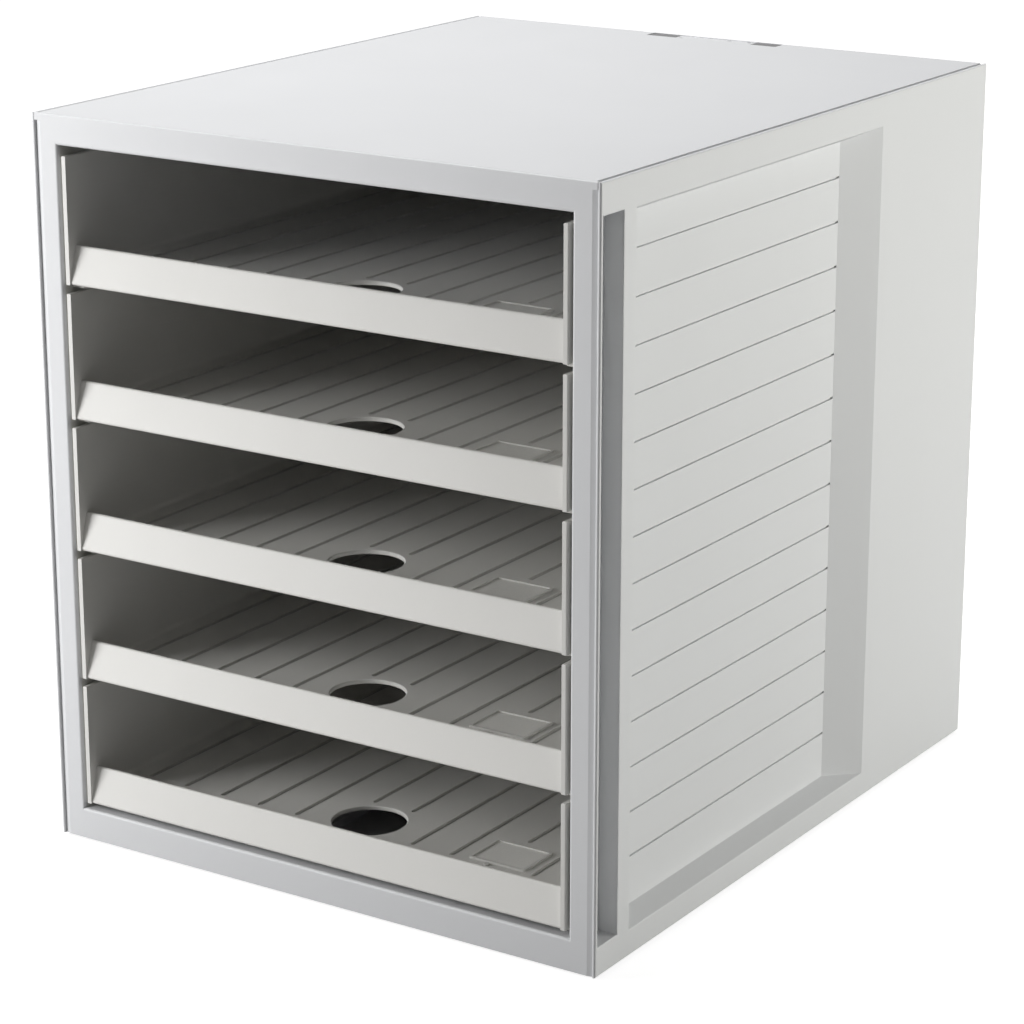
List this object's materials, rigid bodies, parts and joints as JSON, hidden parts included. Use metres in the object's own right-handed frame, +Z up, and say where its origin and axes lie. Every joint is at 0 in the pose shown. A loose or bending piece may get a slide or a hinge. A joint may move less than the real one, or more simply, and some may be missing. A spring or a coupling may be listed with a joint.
{
  "type": "letter tray cabinet",
  "caption": "Desktop cabinet of light grey plastic with a column of open-front trays that slide out of one closed housing.",
  "frame": {"origin": "on the desk, under the middle of the cabinet", "axes": "+Z up, -Y out of the open front, +X to the right of someone facing the front"},
  "size_m": [0.275, 0.33, 0.32],
  "materials": {
    "housing": "fine matt polystyrene, light grey",
    "tray": "fine matt polystyrene, light grey, slightly warmer",
    "guide": "matt polystyrene, light grey, inside the housing",
    "foot": "matt rubber"
  },
  "bodies": {
    "housing": {"top_panel": "housing", "bottom_panel": "housing", "back_panel": "housing", "front_frame": "housing", "side_panel_left": "housing", "side_panel_right": "housing", "runner_panel_left": "guide", "runner_panel_right": "guide", "top_pad_left": "foot", "top_pad_right": "foot", "foot_front_left": "foot", "foot_front_right": "foot", "foot_back_left": "foot", "foot_back_right": "foot"},
    "tray_1": {"drawer_1": "tray"},
    "tray_2": {"drawer_2": "tray"},
    "tray_3": {"drawer_3": "tray"},
    "tray_4": {"drawer_4": "tray"},
    "tray_5": {"drawer_5": "tray"}
  },
  "joints": [
    {"name": "tray_1_slide", "type": "slide", "parent": "housing", "child": "tray_1", "axis": [0, -1, 0], "range_m": [0, 0.215]},
    {"name": "tray_2_slide", "type": "slide", "parent": "housing", "child": "tray_2", "axis": [0, -1, 0], "range_m": [0, 0.215]},
    {"name": "tray_3_slide", "type": "slide", "parent": "housing", "child": "tray_3", "axis": [0, -1, 0], "range_m": [0, 0.215]},
    {"name": "tray_4_slide", "type": "slide", "parent": "housing", "child": "tray_4", "axis": [0, -1, 0], "range_m": [0, 0.215]},
    {"name": "tray_5_slide", "type": "slide", "parent": "housing", "child": "tray_5", "axis": [0, -1, 0], "range_m": [0, 0.215]}
  ]
}
